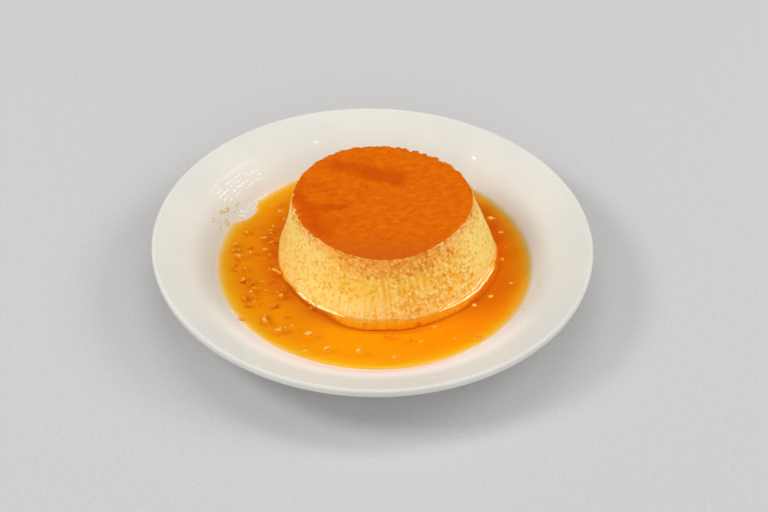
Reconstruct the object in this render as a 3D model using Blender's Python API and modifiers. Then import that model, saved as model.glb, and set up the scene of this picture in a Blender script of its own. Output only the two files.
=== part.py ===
"""Creme caramel flan on its plate: a custard with a caramel top, standing in a pool of caramel sauce.

Metres, +Z up. The origin is the centre of the plate's foot, on the table. -Y is the front.
Each piece keeps GAP to the one that it rests on or touches.
"""

import math

import bpy

GAP = 0.0003
MERGE_DISTANCE = 0.00001
ARC_STEP = math.radians(20)
SHARP_ANGLE = math.radians(40)

# plate: a shallow glazed dish with a flat well, a rising wall and a gently sloped rim
PLATE_RADIUS = 0.0902
RIM_HEIGHT = 0.0219
CREASE_RADIUS = 0.072  # where the wall of the well turns into the rim
CREASE_HEIGHT = 0.0135
WELL_RADIUS = 0.0576
WELL_FLOOR = 0.0045
WELL_SLOPE = (CREASE_HEIGHT - WELL_FLOOR) / (CREASE_RADIUS - WELL_RADIUS)
WELL_FILLET = 0.008
CREASE_FILLET = 0.030
PLATE_WALL = 0.0034
LIP_DEPTH = 0.0040
LIP_LEAN = 0.0003
LIP_ROUND = 0.0011
LIP_UNDER_ROUND = 0.0016
FOOT_RADIUS = 0.051
FOOT_WIDTH = 0.0050
FOOT_RECESS = 0.0016
FOOT_LEAN = 0.0008
FOOT_ROUND = 0.0007
PLATE_SEGMENTS = 72

# caramel sauce: a level pool in the well
SAUCE_LEVEL = 0.0085

# flan: a low cone of custard with its caramel side up, a little off the plate's centre
FLAN_CENTRE = (0.0061, 0.0089)
FLAN_LEAN = (-0.0028, 0.0003)  # how far the top's centre lies from the base's
FLAN_HEIGHT = 0.0291
FLAN_BASE_RADIUS = 0.0469
FLAN_TOP_RADIUS = 0.0369
FLAN_BELLY = 0.0006  # how far the side swells at half height
FLAN_BASE_ROUND = 0.0030
FLAN_TOP_ROUND = 0.0005
# the outline's waves, each with its count, its depth and the angle of its first crest
TOP_WAVES = ((3, 0.0007, math.radians(23)), (4, 0.0005, math.radians(10)))
BASE_WAVES = ((2, 0.0004, math.radians(-40)), (5, 0.0009, math.radians(-44)))
SIDE_WAVES = ((1, 0.0008, math.radians(15)),)  # fuller on the right, slacker on the left
CARAMEL_DEPTH = 0.0012
FLAN_SEGMENTS = 72
SIDE_STEP = 0.0040

PORCELAIN = ((0.80, 0.77, 0.71, 1.0), 0.12)
CUSTARD = ((0.93, 0.62, 0.16, 1.0), 0.42)
CARAMEL = ((0.70, 0.13, 0.006, 1.0), 0.30)
SAUCE = ((0.86, 0.27, 0.010, 1.0), 0.06)


def clear_scene():
    for obj in list(bpy.data.objects):
        bpy.data.objects.remove(obj)


def new_collection(name, shown=True):
    collection = bpy.data.collections.new(name)
    collection.hide_render = not shown
    bpy.context.scene.collection.children.link(collection)
    return collection


def new_material(name, look):
    colour, roughness = look
    material = bpy.data.materials.new(name)
    material.use_nodes = True
    shader = material.node_tree.nodes["Principled BSDF"]
    shader.inputs["Base Color"].default_value = colour
    shader.inputs["Roughness"].default_value = roughness
    material.diffuse_color = colour
    return material


def rounded(corners):
    """The outline through (radius, height, fillet) corners, with each fillet as an arc."""
    points = []
    for i, (x, z, fillet) in enumerate(corners):
        if not fillet:
            points.append((x, z))
            continue
        before, after = corners[i - 1], corners[i + 1]
        back = math.atan2(before[1] - z, before[0] - x)
        ahead = math.atan2(after[1] - z, after[0] - x)
        turn = (ahead - back + math.pi) % math.tau - math.pi
        half = abs(turn) / 2
        reach = fillet / math.tan(half)
        bisector = back + turn / 2
        centre_x = x + fillet / math.sin(half) * math.cos(bisector)
        centre_z = z + fillet / math.sin(half) * math.sin(bisector)
        start = math.atan2(z + reach * math.sin(back) - centre_z, x + reach * math.cos(back) - centre_x)
        sweep = -math.copysign(math.pi - abs(turn), turn)
        pieces = max(2, math.ceil(abs(sweep) / ARC_STEP))
        for k in range(pieces + 1):
            angle = start + sweep * k / pieces
            points.append((centre_x + fillet * math.cos(angle), centre_z + fillet * math.sin(angle)))
    return points


def divided(points, step):
    """The same outline with its long runs cut into pieces no longer than step."""
    cut = [points[0]]
    for (x0, z0), (x1, z1) in zip(points, points[1:]):
        pieces = max(1, math.ceil(math.dist((x0, z0), (x1, z1)) / step))
        cut += [(x0 + (x1 - x0) * k / pieces, z0 + (z1 - z0) * k / pieces) for k in range(1, pieces + 1)]
    return cut


def turned(name, profile, segments, collection):
    """A solid turned about Z from a profile that starts and ends on the axis."""
    mesh = bpy.data.meshes.new(name)
    edges = [(i, i + 1) for i in range(len(profile) - 1)]
    mesh.from_pydata([(x, 0, z) for x, z in profile], edges, [])
    obj = bpy.data.objects.new(name, mesh)
    collection.objects.link(obj)
    screw = obj.modifiers.new("turn", "SCREW")
    screw.axis = "Z"
    screw.steps = screw.render_steps = segments
    screw.use_merge_vertices = True
    screw.merge_threshold = MERGE_DISTANCE
    return obj


def as_mesh(obj):
    """The object with its modifiers made real, so that its points can be moved one by one."""
    graph = bpy.context.evaluated_depsgraph_get()
    mesh = bpy.data.meshes.new_from_object(obj.evaluated_get(graph))
    obj.modifiers.clear()
    obj.data = mesh
    return obj


def smooth(obj):
    obj.data.shade_smooth()
    obj.data.set_sharp_from_angle(angle=SHARP_ANGLE)


def swell(waves, angle):
    """How far a set of waves moves the outline outwards at an angle."""
    return sum(depth * math.cos(count * (angle - first)) for count, depth, first in waves)


def flan_radius(height):
    """The flan's mean radius at a height above its base."""
    share = height / FLAN_HEIGHT
    cone = FLAN_BASE_RADIUS + (FLAN_TOP_RADIUS - FLAN_BASE_RADIUS) * share
    return cone + FLAN_BELLY * math.sin(math.pi * min(max(share, 0), 1))


def settle(obj):
    """Gives a turned piece of the flan its uneven outline, its lean and its place on the plate."""
    for vertex in obj.data.vertices:
        x, y, z = vertex.co
        share = min(max((z - WELL_FLOOR) / FLAN_HEIGHT, 0), 1)
        angle = math.atan2(y, x)
        uneven = swell(TOP_WAVES, angle) * share + swell(BASE_WAVES, angle) * (1 - share)
        uneven += swell(SIDE_WAVES, angle) * math.sin(math.pi * share)
        stretch = 1 + uneven / FLAN_TOP_RADIUS
        vertex.co.x = x * stretch + FLAN_CENTRE[0] + FLAN_LEAN[0] * share
        vertex.co.y = y * stretch + FLAN_CENTRE[1] + FLAN_LEAN[1] * share
    return obj


def flan_slice(name, low, high, low_round, high_round, collection, spare=0.0):
    """The part of the flan between two heights above its base, wider all round by spare."""
    corners = [
        (0, WELL_FLOOR + high, 0),
        (flan_radius(high) + spare, WELL_FLOOR + high, high_round),
        (flan_radius(low) + spare, WELL_FLOOR + low, low_round),
        (0, WELL_FLOOR + low, 0),
    ]
    outline = rounded(corners)
    rim = [p for p in outline if p[0] > 0]
    side = []
    for x, z in divided(rim, SIDE_STEP):
        share = (z - WELL_FLOOR - low) / (high - low)
        straight = flan_radius(low) + (flan_radius(high) - flan_radius(low)) * share
        side.append((x + flan_radius(z - WELL_FLOOR) - straight, z))
    return settle(as_mesh(turned(name, [outline[0], *side, outline[-1]], FLAN_SEGMENTS, collection)))


def make_plate(collection):
    rim_slope = math.atan2(RIM_HEIGHT - CREASE_HEIGHT, PLATE_RADIUS - CREASE_RADIUS)
    mid_slope = (rim_slope + math.atan(WELL_SLOPE)) / 2
    under_crease = CREASE_RADIUS + PLATE_WALL * math.sin(mid_slope)
    under_crease_height = CREASE_HEIGHT - PLATE_WALL * math.cos(mid_slope)
    corners = [
        (0, WELL_FLOOR, 0),
        (WELL_RADIUS, WELL_FLOOR, WELL_FILLET),
        (CREASE_RADIUS, CREASE_HEIGHT, CREASE_FILLET),
        (PLATE_RADIUS, RIM_HEIGHT, LIP_ROUND),
        (PLATE_RADIUS - LIP_LEAN, RIM_HEIGHT - LIP_DEPTH, LIP_UNDER_ROUND),
        (under_crease, under_crease_height, CREASE_FILLET),
        (under_crease - (under_crease_height - FOOT_RECESS) / WELL_SLOPE, FOOT_RECESS, 0),
        (FOOT_RADIUS + FOOT_LEAN, FOOT_RECESS, 0),
        (FOOT_RADIUS, 0, FOOT_ROUND),
        (FOOT_RADIUS - FOOT_WIDTH, 0, FOOT_ROUND),
        (FOOT_RADIUS - FOOT_WIDTH - FOOT_LEAN, FOOT_RECESS, 0),
        (0, FOOT_RECESS, 0),
    ]
    return turned("plate", rounded(corners), PLATE_SEGMENTS, collection)


def make_sauce(collection, cutters):
    """The pool lies on the well's floor and up its wall, with a hole where the flan stands."""
    edge = WELL_RADIUS + (SAUCE_LEVEL - WELL_FLOOR - GAP) / WELL_SLOPE
    corners = [
        (0, SAUCE_LEVEL, 0),
        (edge - GAP, SAUCE_LEVEL, 0),
        (WELL_RADIUS - GAP, WELL_FLOOR + GAP, WELL_FILLET),
        (0, WELL_FLOOR + GAP, 0),
    ]
    sauce = turned("caramel_sauce", rounded(corners), PLATE_SEGMENTS, collection)
    depth = SAUCE_LEVEL - WELL_FLOOR
    hole = flan_slice("flan_hole", -depth, 2 * depth, 0, 0, cutters, spare=GAP)  # through both faces
    hole.hide_render = True
    hole.display_type = "WIRE"
    cut = sauce.modifiers.new("flan", "BOOLEAN")
    cut.operation = "DIFFERENCE"
    cut.object = hole
    return as_mesh(sauce)


def main():
    clear_scene()
    shown = new_collection("creme_caramel_flan")
    cutters = new_collection("cutters", shown=False)
    plate = as_mesh(make_plate(shown))
    sauce = make_sauce(shown, cutters)
    seam = FLAN_HEIGHT - CARAMEL_DEPTH
    custard = flan_slice("custard", GAP, seam - GAP, FLAN_BASE_ROUND, 0, shown)
    caramel = flan_slice("caramel_top", seam, FLAN_HEIGHT, 0, FLAN_TOP_ROUND, shown)
    looks = {plate: PORCELAIN, sauce: SAUCE, custard: CUSTARD, caramel: CARAMEL}
    for obj, look in looks.items():
        obj.data.materials.append(new_material(obj.name, look))
        smooth(obj)


main()
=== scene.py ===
import math

import bpy
from mathutils import Matrix, Vector, noise


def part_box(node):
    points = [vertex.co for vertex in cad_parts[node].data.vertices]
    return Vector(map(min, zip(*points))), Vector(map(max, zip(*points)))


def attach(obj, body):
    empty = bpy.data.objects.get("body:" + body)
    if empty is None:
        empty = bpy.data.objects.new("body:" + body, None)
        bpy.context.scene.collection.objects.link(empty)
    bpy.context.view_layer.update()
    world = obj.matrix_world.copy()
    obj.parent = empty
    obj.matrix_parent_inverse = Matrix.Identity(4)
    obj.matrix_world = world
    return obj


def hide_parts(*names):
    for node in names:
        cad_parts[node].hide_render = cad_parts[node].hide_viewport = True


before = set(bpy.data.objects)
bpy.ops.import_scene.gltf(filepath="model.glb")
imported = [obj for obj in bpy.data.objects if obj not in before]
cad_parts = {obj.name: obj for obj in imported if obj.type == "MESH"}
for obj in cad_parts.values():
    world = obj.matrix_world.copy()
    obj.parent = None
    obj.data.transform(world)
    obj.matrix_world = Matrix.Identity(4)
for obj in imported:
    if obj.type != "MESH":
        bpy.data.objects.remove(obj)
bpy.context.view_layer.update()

# Creme caramel on its plate: glazed dish, custard, caramel skin, a pool of thin caramel,
# custard crumbs in the pool and a few splashes on the glaze. Metres, +Z up, -Y is the front.
# The dictionaries' sizes are in mm, unless they are multiplied by mm there.

mm = 0.001
sauceLow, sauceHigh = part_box("caramel_sauce")
custardLow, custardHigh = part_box("custard")
skinLow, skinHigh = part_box("caramel_top")
plateLow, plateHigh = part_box("plate")


treeInHand = None  # new nodes go into this tree


def takeTree(tree):
    global treeInHand
    treeInHand = tree
    return tree


def link(output, node, socket):
    treeInHand.links.new(output, node.inputs[socket])


def addNode(kind, inputs=None, **settings):
    # a node with its settings made and its inputs set or linked
    node = treeInHand.nodes.new(kind)
    for name, value in settings.items():
        setattr(node, name, value)
    for key, value in (inputs or {}).items():
        if isinstance(value, bpy.types.NodeSocket):
            link(value, node, key)
        else:
            node.inputs[key].default_value = value
    return node


def maths(operation, *values):
    return addNode("ShaderNodeMath", dict(enumerate(values)), operation=operation).outputs[0]


def times(*values):
    total = values[0]
    for value in values[1:]:
        total = maths("MULTIPLY", total, value)
    return total


def larger(*values):
    # the largest of several values
    total = values[0]
    for value in values[1:]:
        total = maths("MAXIMUM", total, value)
    return total


def plus(first, second):
    return maths("ADD", first, second)


def minus(first, second):
    return maths("SUBTRACT", first, second)


def oneMinus(value):
    return maths("SUBTRACT", 1.0, value)


def scaled(value, factor, offset):
    return maths("MULTIPLY_ADD", value, factor, offset)


def vectorMaths(operation, *values, **named):
    inputs = {**dict(enumerate(values)), **named}
    node = addNode("ShaderNodeVectorMath", inputs, operation=operation)
    return node.outputs["Value" if operation in ("DOT_PRODUCT", "DISTANCE") else "Vector"]


def eased(value, low, high, most=1.0):
    # 0 at low, most at high, with a smooth start and end
    inputs = {0: value, 1: low, 2: high, 3: 0.0, 4: most}
    return addNode("ShaderNodeMapRange", inputs, interpolation_type="SMOOTHSTEP").outputs[0]


def around(angle, middle, half, soft):
    # 1 within half degrees of the middle direction, 0 past the soft border
    turned = maths("COSINE", minus(angle, math.radians(middle)))
    outside = math.cos(math.radians(min(half + soft, 180)))
    inside = math.cos(math.radians(max(half - soft, 0)))
    return eased(turned, outside, inside)


def noiseAt(place, size, detail=2.0, rough=0.5):
    inputs = {"Vector": place, "Scale": 1 / size, "Detail": detail, "Roughness": rough}
    return addNode("ShaderNodeTexNoise", inputs).outputs["Fac"]


def poresAt(place, spacing, least, most):
    # round pits of uneven size: 1 at the bottom of a pit, 0 on the wall between pits
    cells = addNode("ShaderNodeTexVoronoi", {"Vector": place, "Scale": 1 / spacing})
    luck = addNode("ShaderNodeSeparateXYZ", {0: cells.outputs["Color"]}).outputs[0]
    reach = larger(scaled(luck, most - least, least), 0.001)
    return eased(cells.outputs["Distance"], reach, times(reach, 0.35))


def splitPlace(place):
    parts = addNode("ShaderNodeSeparateXYZ", {0: place}).outputs
    return parts[0], parts[1], parts[2]


def awayFrom(x, y, centre=(0, 0)):
    # how far a place is from a centre given in mm, seen from above, and in which direction
    dx, dy = minus(x, centre[0] * mm), minus(y, centre[1] * mm)
    distance = maths("SQRT", plus(times(dx, dx), times(dy, dy)))
    return distance, maths("ARCTAN2", dy, dx)


def stretched(place, scale):
    return vectorMaths("MULTIPLY", place, scale)


def warped(place, size, detail, amount):
    # the place shaken by noise
    shake = addNode("ShaderNodeTexNoise", {"Vector": place, "Scale": 1 / size, "Detail": detail})
    shake = vectorMaths("SUBTRACT", shake.outputs["Color"], (0.5, 0.5, 0.5))
    return vectorMaths("ADD", place, vectorMaths("SCALE", shake, Scale=amount))


def storedAt(name):
    # a value that the geometry nodes stored on the mesh
    return addNode("ShaderNodeAttribute", attribute_name=name).outputs["Fac"]


def blendColour(share, first, second):
    inputs = {0: share, 6: first, 7: second}
    return addNode("ShaderNodeMix", inputs, data_type="RGBA").outputs[2]


def newMaterial(name, look):
    # a principled material whose whole-surface values sit on the shader's own sockets
    material = bpy.data.materials.new(name)
    material.use_nodes = True
    shader = takeTree(material.node_tree).nodes["Principled BSDF"]
    for socket, value in look.items():
        shader.inputs[socket].default_value = value
    place = addNode("ShaderNodeTexCoord").outputs["Object"]
    return material, shader, place


def bumped(shader, height, strength, distance):
    bump = addNode("ShaderNodeBump", {"Height": height, "Strength": strength, "Distance": distance})
    link(bump.outputs[0], shader, "Normal")


def newTree(name, inputs):
    tree = takeTree(bpy.data.node_groups.new(name, "GeometryNodeTree"))
    tree.interface.new_socket("Geometry", in_out="INPUT", socket_type="NodeSocketGeometry")
    for label in inputs:
        tree.interface.new_socket(label, in_out="INPUT", socket_type="NodeSocketFloat")
    tree.interface.new_socket("Geometry", in_out="OUTPUT", socket_type="NodeSocketGeometry")
    return tree, tree.nodes.new("NodeGroupInput").outputs, tree.nodes.new("NodeGroupOutput")


def asMesh(obj):
    graph = bpy.context.evaluated_depsgraph_get()
    mesh = bpy.data.meshes.new_from_object(obj.evaluated_get(graph))
    obj.modifiers.clear()
    obj.data = mesh
    return obj


def grown(obj, tree, sizes):
    # the object after a geometry node tree with these named sizes, as a plain mesh
    modifier = obj.modifiers.new(tree.name, "NODES")
    modifier.node_group = tree
    for item in tree.interface.items_tree:
        if item.in_out == "INPUT" and item.name in sizes:
            modifier[item.identifier] = sizes[item.name]
    return asMesh(obj)


def newObject(name, points, edges, faces):
    mesh = bpy.data.meshes.new(name)
    mesh.from_pydata(points, edges, faces)
    obj = bpy.data.objects.new(name, mesh)
    bpy.context.scene.collection.objects.link(obj)
    return obj


def turned(name, outline, steps):
    # a closed shape turned about Z from an outline that runs from the top's middle to the bottom's
    edges = [(i, i + 1) for i in range(len(outline) - 1)]
    obj = newObject(name, [(x, 0, z) for x, z in outline], edges, [])
    screw = obj.modifiers.new("turn", "SCREW")
    screw.axis = "Z"
    screw.steps = screw.render_steps = steps
    screw.use_merge_vertices = True
    screw.merge_threshold = 0.001 * mm
    return asMesh(obj)


def roundedOutline(corners, arcStep):
    # the outline through (radius, height, fillet) corners, each fillet as an arc
    points = []
    for i, (x, z, fillet) in enumerate(corners):
        if not fillet:
            points.append((x, z))
            continue
        before, after = corners[i - 1], corners[i + 1]
        back = math.atan2(before[1] - z, before[0] - x)
        ahead = math.atan2(after[1] - z, after[0] - x)
        turn = (ahead - back + math.pi) % math.tau - math.pi
        half = abs(turn) / 2
        reach = fillet / math.tan(half)
        middle = back + turn / 2
        centreX = x + fillet / math.sin(half) * math.cos(middle)
        centreZ = z + fillet / math.sin(half) * math.sin(middle)
        start = math.atan2(z + reach * math.sin(back) - centreZ, x + reach * math.cos(back) - centreX)
        sweep = -math.copysign(math.pi - abs(turn), turn)
        count = max(2, math.ceil(abs(sweep) / math.radians(arcStep)))
        for k in range(count + 1):
            angle = start + sweep * k / count
            points.append((centreX + fillet * math.cos(angle), centreZ + fillet * math.sin(angle)))
    return points


def cutRuns(points, step):
    # the same outline with its long runs cut into pieces no longer than step
    cut = [points[0]]
    for (x0, z0), (x1, z1) in zip(points, points[1:]):
        count = max(1, math.ceil(math.dist((x0, z0), (x1, z1)) / step))
        cut += [(x0 + (x1 - x0) * k / count, z0 + (z1 - z0) * k / count) for k in range(1, count + 1)]
    return cut


def finishPiece(obj, material, slotName, *nodes):
    obj.data.materials.clear()
    obj.data.materials.append(material)
    obj.data.shade_smooth()
    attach(obj, "root")
    if nodes:
        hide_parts(*nodes)
    print(obj.name, len(obj.data.polygons), "faces")


plate = {
    "radius": 90.2, "rimHeight": 21.9,
    "creaseRadius": 72.0, "creaseHeight": 13.5, "creaseFillet": 55.0,
    "wellRadius": 59.9, "wellFloor": 4.5, "wellFillet": 22.0,
    "wall": 3.4,
    "lipDepth": 4.0, "lipLean": 0.3, "lipRound": 1.1, "lipUnderRound": 1.6,
    "footRadius": 51.0, "footWidth": 5.0, "footRecess": 1.6, "footLean": 0.8, "footRound": 0.7,
    "steps": 288, "arcStep": 2, "run": 2.0,
    "glaze": (0.757, 0.748, 0.705, 1), "glazeCool": (0.725, 0.72, 0.69, 1),
    # the glaze under the pool: painted whiter as painted light, and yellow under the deep middle
    "underSauce": (0.97, 0.95, 0.86, 1), "underDeep": (0.97, 0.95, 0.14, 1),
    # a thin tan film by the pool, and painted shade round the flan's foot
    "tanRing": (0.86, 0.62, 0.34, 1), "footShade": (0.78, 0.44, 0.09, 1),
    # painted shade for the side walls and painted light for the front wall
    "sideWallShade": (0.69, 0.665, 0.61, 1), "frontWallLight": (0.96, 0.955, 0.94, 1),
    # where the pool draws back from the wall: direction, half spread, soft border and depth
    "bay": (150, 4.5, 3.5, 3.7),
}


def plateOutline():
    p = plate
    wellSlope = (p["creaseHeight"] - p["wellFloor"]) / (p["creaseRadius"] - p["wellRadius"])
    rimSlope = math.atan2(p["rimHeight"] - p["creaseHeight"], p["radius"] - p["creaseRadius"])
    middle = (rimSlope + math.atan(wellSlope)) / 2
    underRadius = p["creaseRadius"] + p["wall"] * math.sin(middle)
    underHeight = p["creaseHeight"] - p["wall"] * math.cos(middle)
    footInside = p["footRadius"] - p["footWidth"]
    top = [
        (0, p["wellFloor"], 0),
        (p["wellRadius"], p["wellFloor"], p["wellFillet"]),
        (p["creaseRadius"], p["creaseHeight"], p["creaseFillet"]),
        (p["radius"], p["rimHeight"], p["lipRound"]),
        (p["radius"] - p["lipLean"], p["rimHeight"] - p["lipDepth"], p["lipUnderRound"]),
        (underRadius, underHeight, p["creaseFillet"]),
        (underRadius - (underHeight - p["footRecess"]) / wellSlope, p["footRecess"], 0),
        (p["footRadius"] + p["footLean"], p["footRecess"], 0),
        (p["footRadius"], 0, p["footRound"]),
        (footInside, 0, p["footRound"]),
        (footInside - p["footLean"], p["footRecess"], 0),
        (0, p["footRecess"], 0),
    ]
    outline = cutRuns(roundedOutline(top, p["arcStep"]), p["run"])
    return [(x * mm, z * mm) for x, z in outline]


def insideHeight(outline, radius):
    # how high the plate's upper face lies at a radius
    for (x0, z0), (x1, z1) in zip(outline, outline[1:]):
        if x0 <= radius <= x1:
            return z0 + (z1 - z0) * (radius - x0) / (x1 - x0)
    return outline[0][1]


def glazeMaterial():
    p = plate
    look = {"IOR": 1.5, "Specular IOR Level": 0.06}
    material, shader, place = newMaterial("ivoryGlaze", look)
    x, y, z = splitPlace(place)
    radius, angle = awayFrom(x, y)
    cloud = noiseAt(place, 26 * mm, 3)
    glaze = blendColour(eased(cloud, 0.35, 0.65), p["glaze"], p["glazeCool"])
    # a thin patchy film above the pool's edge, a little wider and fainter at the front
    front = around(angle, -80, 50, 45)
    patchy = scaled(noiseAt(place, 9 * mm, 2), 0.10, 0.01)
    patchy = times(patchy, scaled(front, -0.8, 1.0))
    reach = scaled(front, 2.0 * mm, 69.0 * mm)
    ring = times(eased(radius, reach, 65.0 * mm), patchy)
    glaze = blendColour(ring, glaze, p["tanRing"])
    # painted shade on the wall at the sides, and painted light on the wall at the front
    onWall = eased(radius, 76 * mm, 69 * mm)
    atSides = larger(eased(maths("COSINE", angle), 0.5, 0.9), around(angle, 182, 25, 20))
    glaze = blendColour(times(onWall, atSides), glaze, p["sideWallShade"])
    onFront = times(eased(radius, 80 * mm, 72 * mm), around(angle, -88, 42, 30))
    glaze = blendColour(onFront, glaze, p["frontWallLight"])
    # painted shade of the flan round its foot on the glaze under the pool, most at the left and the right
    fromFlan = awayFrom(x, y, flan["centre"])[0]
    footShade = times(eased(fromFlan, 58 * mm, 46 * mm),
                 scaled(around(angle, -25, 30, 25), -0.30, 0.42))
    sides = oneMinus(around(angle, -75, 30, 25))
    shadierSides = larger(around(angle, 180, 18, 22), around(angle, 15, 40, 30))
    footShade = scaled(shadierSides, 0.14, times(plus(footShade, 0.38), sides))
    footShade = times(footShade, scaled(noiseAt(place, 8 * mm, 2), 0.8, 0.6))
    bay = around(angle, *p["bay"][:3])
    radius = scaled(bay, p["bay"][3] * mm, radius)
    # under the pool the glaze is painted whiter, painted light that makes the pool brighter, and yellow
    # under its deep middle
    floorColour = blendColour(eased(radius, 64 * mm, 59.5 * mm), p["underSauce"], p["underDeep"])
    floorColour = blendColour(footShade, floorColour, p["footShade"])
    # and a thin painted contact shadow under the front of the foot
    contactShadow = times(eased(fromFlan, 51.2 * mm, 49.6 * mm), around(angle, -90, 34, 18), 0.5)
    floorColour = blendColour(contactShadow, floorColour, p["footShade"])
    colour = blendColour(eased(radius, 62 * mm, 66 * mm), floorColour, glaze)
    link(colour, shader, "Base Color")
    rough = eased(noiseAt(place, 6 * mm, 3), 0.3, 0.8, 0.03)
    link(plus(rough, 0.02), shader, "Roughness")
    bumped(shader, noiseAt(place, 18 * mm, 1), 0.03, 0.2 * mm)
    return material


flan = {
    "centre": (6.1, 8.9), "lean": (-2.8, 1.0), "height": 29.1,
    "baseRadius": 46.5, "topRadius": 36.4, "belly": 0.0, "baseRound": 0.8, "topRound": 1.15,
    # how often a wave goes round, its depth and the direction of its first crest
    "topWaves": ((3, 0.7, 23), (4, 0.5, 10)),
    "baseWaves": ((1, 0.9, 82), (5, 0.3, -80)),
    "sideWaves": ((1, 0.7, 5),),
    # parts of the side that stand out or back: direction, half spread, soft border, distance
    "bulge": (-9, 19, 6, -0.5), "setback": (42, 30, 8, -1.6), "slump": (-119, 9, 24, 2.0),
    "steps": 800, "sideRow": 0.30, "rimRow": 0.40, "topRow": 1.3, "rimBand": 5.0,
}

outline = plateOutline()
plateObject = turned("glazed_plate", outline, plate["steps"])
finishPiece(plateObject, glazeMaterial(), "porcelain", "plate")

relief = {
    "Hollow Spacing": 4.6 * mm, "Hollow Depth": 1.2 * mm,
    "Pit Spacing": 2.3 * mm, "Pit Depth": 0.75 * mm,
    "Pore Spacing": 1.1 * mm, "Pore Depth": 0.14 * mm,
    "Chunk Spacing": 1.55 * mm, "Chunk Height": 0.55 * mm, "Crease Depth": 0.12 * mm,
    "Lump Size": 10.0 * mm, "Lump Height": 0.6 * mm,
    "Crumb Size": 2.4 * mm, "Crumb Height": 1.5 * mm,
    "Grain Size": 1.0 * mm, "Grain Height": 0.35 * mm,
    "Streak Width": 1.0 * mm, "Streak Depth": 0.6 * mm,
    "Rim Wear": 0.9 * mm, "Rim Lumps": 1.2 * mm, "Rim Beads": 0.8 * mm,
    "Skin Ripple": 0.25 * mm,
    "Foot Spread": 2.6 * mm, "Foot Base": 0.2 * mm,
}


def wallRadius(height):
    # the flan's mean radius, in mm, at a height above its base
    share = height / flan["height"]
    cone = flan["baseRadius"] + (flan["topRadius"] - flan["baseRadius"]) * share
    return cone + flan["belly"] * math.sin(math.pi * min(max(share, 0), 1))


def swell(waves, angle):
    return sum(depth * math.cos(count * (angle - math.radians(first))) for count, depth, first in waves)


def standsOut(angle):
    # how far, in mm, the side's own bulge, setback and slump move the wall near the pool's surface
    total = 0.0
    for key in ("bulge", "setback", "slump"):
        middle, half, soft, distance = flan[key]
        inside, outside = math.cos(math.radians(half)), math.cos(math.radians(half + soft))
        t = min(max((math.cos(angle - math.radians(middle)) - outside) / (inside - outside), 0), 1)
        total += distance * t * t * (3 - 2 * t)
    return total


def flanPoint(angle, height, out):
    # a point, in metres, out mm outside the flan's mean wall at a height above its base
    share = height / flan["height"]
    uneven = swell(flan["topWaves"], angle) * share + swell(flan["baseWaves"], angle) * (1 - share)
    uneven += swell(flan["sideWaves"], angle) * math.sin(math.pi * share)
    radius = wallRadius(height) * (1 + uneven / flan["topRadius"]) + out
    x = radius * math.cos(angle) + flan["centre"][0] + flan["lean"][0] * share
    y = radius * math.sin(angle) + flan["centre"][1] + flan["lean"][1] * share
    return x * mm, y * mm


def flanOutline(low, high, lowRound, highRound, row):
    # heights above the plate's floor, with the belly added to a straight cone
    corners = [(0, high, 0), (wallRadius(high), high, highRound),
               (wallRadius(low), low, lowRound), (0, low, 0)]
    points = roundedOutline(corners, 12)
    side = []
    for x, z in cutRuns(points[1:-1], row):
        share = (z - low) / (high - low)
        straight = wallRadius(low) + (wallRadius(high) - wallRadius(low)) * share
        side.append((x + wallRadius(z) - straight, z))
    floor = plate["wellFloor"]
    whole = [points[0], *side, points[-1]]
    return [(x * mm, (z + floor) * mm) for x, z in whole]


zones = {
    # places round the flan's side: direction, half spread and soft border, in degrees
    "coarseFront": (-50, 28, 20), "coarseBand": (-62, 62, 24), "coarseBack": (105, 60, 40),
    "smoothLeft": (-165, 40, 25), "dragMarks": (-89, 26, 16), "calm": (-40, 26, 12),
    "wornRight": (60, 26, 16), "wornBack": (120, 45, 20), "wornLeft": (-160, 28, 12),
    "knobsRight": (58, 24, 14), "knobsBack": (110, 45, 15),
    "beadsLeft": (-152, 20, 12), "beadsRight": (-36, 16, 10),
    "footFront": (-91, 21, 16), "footRight": (-45, 42, 20),
    # and for the colours alone
    "front": (-84, 28, 30), "dashes": (-85, 55, 30), "damp": (-88, 26, 14),
    "paleFoot": (-84, 34, 22), "paleLeft": (-152, 12, 10), "darkLeft": (-133, 17, 8),
}


def swellField(waves, angle):
    total = 0.0
    for count, depth, first in waves:
        phase = scaled(angle, count, -count * math.radians(first))
        total = scaled(maths("COSINE", phase), depth * mm, total)
    return total


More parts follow.
